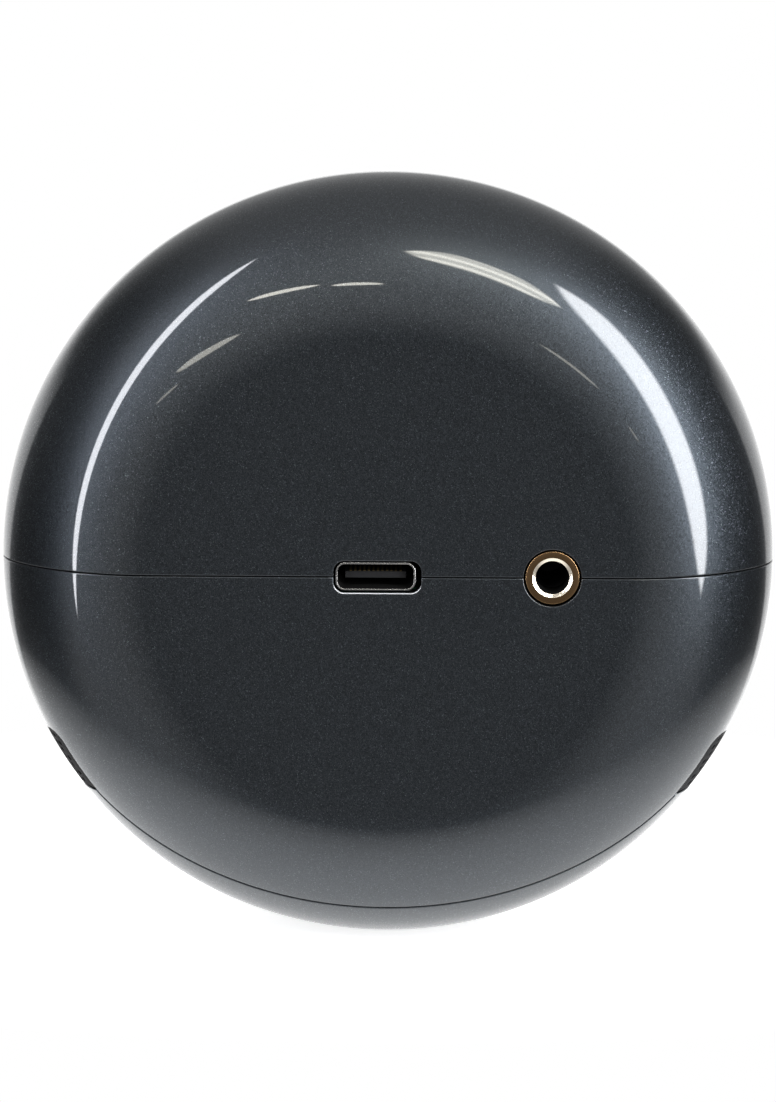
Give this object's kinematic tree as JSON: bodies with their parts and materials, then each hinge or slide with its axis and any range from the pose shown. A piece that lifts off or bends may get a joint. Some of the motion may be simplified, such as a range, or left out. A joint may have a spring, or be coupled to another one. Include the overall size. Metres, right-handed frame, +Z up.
{
  "type": "smart speaker",
  "caption": "Round desktop smart speaker with a cloth front, flat back with USB-C and audio jack, side vents and top buttons.",
  "frame": {"origin": "on the floor under the middle of the speaker's bounding box, which lies just behind the foot's centre", "axes": "+X across, seen from the back to the left; +Y out of the flat back with the ports; -Y out of the cloth front; +Z up"},
  "size_m": [0.087, 0.047, 0.0878],
  "materials": {
    "aluminium_can": "satin sleeve",
    "basket_steel": "black e-coat",
    "bezel_lacquer": "pale gloss lacquer",
    "board": "green solder mask",
    "button_lacquer": "anthracite metallic lacquer, same as the shells",
    "can_steel": "tin plated",
    "chip": "moulded epoxy",
    "component": "ceramic",
    "cone_paper": "coated paper",
    "contact_plate": "gold plated",
    "copper": "enamelled copper wire",
    "dark_plastic": "moulded black",
    "ferrite": "ground ferrite",
    "flex": "amber polyimide film",
    "foam": "closed-cell foam",
    "foot_rubber": "matt silicone rubber",
    "former_film": "polyimide film",
    "grey_plastic": "moulded grey",
    "grille_fabric": "woven charcoal acoustic cloth",
    "jack_plate": "polished rose-gold plated",
    "led_lens": "clear over phosphor",
    "light_guide": "milky translucent",
    "port_steel": "bright nickel plated",
    "screw_steel": "black zinc",
    "shell_lacquer": "anthracite metallic lacquer with fine flakes under clear gloss",
    "spider_cloth": "resin dipped cloth",
    "surround_rubber": "satin butyl rubber",
    "vent_mesh": "black powder coat",
    "wire_sleeve": "silicone sleeve",
    "zinc_steel": "zinc plated"
  },
  "bodies": {
    "housing": {"top_shell": "shell_lacquer", "bottom_shell": "shell_lacquer", "bottom_cover": "shell_lacquer", "rubber_foot": "foot_rubber", "cover_screws": "screw_steel", "shell_screws": "screw_steel", "side_vent_mesh_left": "vent_mesh", "side_vent_mesh_right": "vent_mesh", "usb_c_shell": "port_steel", "usb_c_tongue": "grey_plastic", "usb_c_contacts": "contact_plate", "jack_barrel": "jack_plate", "jack_housing": "dark_plastic", "jack_contacts": "contact_plate", "port_board": "board", "main_board": "board", "power_board": "board", "shield_can": "can_steel", "processor": "chip", "memory_chip": "chip", "wireless_module": "can_steel", "amplifier_chip": "chip", "capacitors": "aluminium_can", "inductors": "component", "chip_components": "component", "antenna": "flex", "board_connector": "grey_plastic", "acoustic_chamber": "dark_plastic", "base_weight": "zinc_steel", "baffle": "dark_plastic", "baffle_screws": "screw_steel", "speaker_wires": "wire_sleeve", "driver_terminals": "component", "driver_basket": "basket_steel", "driver_gasket": "foam", "driver_screws": "screw_steel", "top_plate": "zinc_steel", "magnet": "ferrite", "pole_yoke": "zinc_steel", "surround": "surround_rubber", "spider": "spider_cloth", "front_bezel": "bezel_lacquer", "light_ring": "light_guide", "grille_frame": "dark_plastic", "fabric_grille": "grille_fabric", "led_board": "board", "leds": "led_lens", "tact_switches": "can_steel", "control_flex": "flex", "control_bracket": "dark_plastic", "microphones": "can_steel"},
    "cone_assembly": {"cone": "cone_paper", "dust_cap": "cone_paper", "coil_former": "former_film", "voice_coil": "copper"},
    "volume_down_key": {"volume_down_button": "button_lacquer"},
    "action_key": {"action_button": "button_lacquer"},
    "microphone_key": {"microphone_button": "button_lacquer"},
    "volume_up_key": {"volume_up_button": "button_lacquer"}
  },
  "joints": [
    {"name": "cone_excursion", "type": "slide", "parent": "housing", "child": "cone_assembly", "axis": [0, -1, 0], "range_m": [-0.001, 0.001], "stiffness_N_per_m": 900, "deforming": ["surround", "spider"]},
    {"name": "volume_down_press", "type": "slide", "parent": "housing", "child": "volume_down_key", "axis": [0.4067, 0, -0.9135], "range_m": [0, 0.0004], "stiffness_N_per_m": 400, "springref_m": -0.0012},
    {"name": "action_press", "type": "slide", "parent": "housing", "child": "action_key", "axis": [0.1392, 0, -0.9903], "range_m": [0, 0.0004], "stiffness_N_per_m": 400, "springref_m": -0.0012},
    {"name": "microphone_press", "type": "slide", "parent": "housing", "child": "microphone_key", "axis": [-0.1392, 0, -0.9903], "range_m": [0, 0.0004], "stiffness_N_per_m": 400, "springref_m": -0.0012},
    {"name": "volume_up_press", "type": "slide", "parent": "housing", "child": "volume_up_key", "axis": [-0.4067, 0, -0.9135], "range_m": [0, 0.0004], "stiffness_N_per_m": 400, "springref_m": -0.0012}
  ]
}
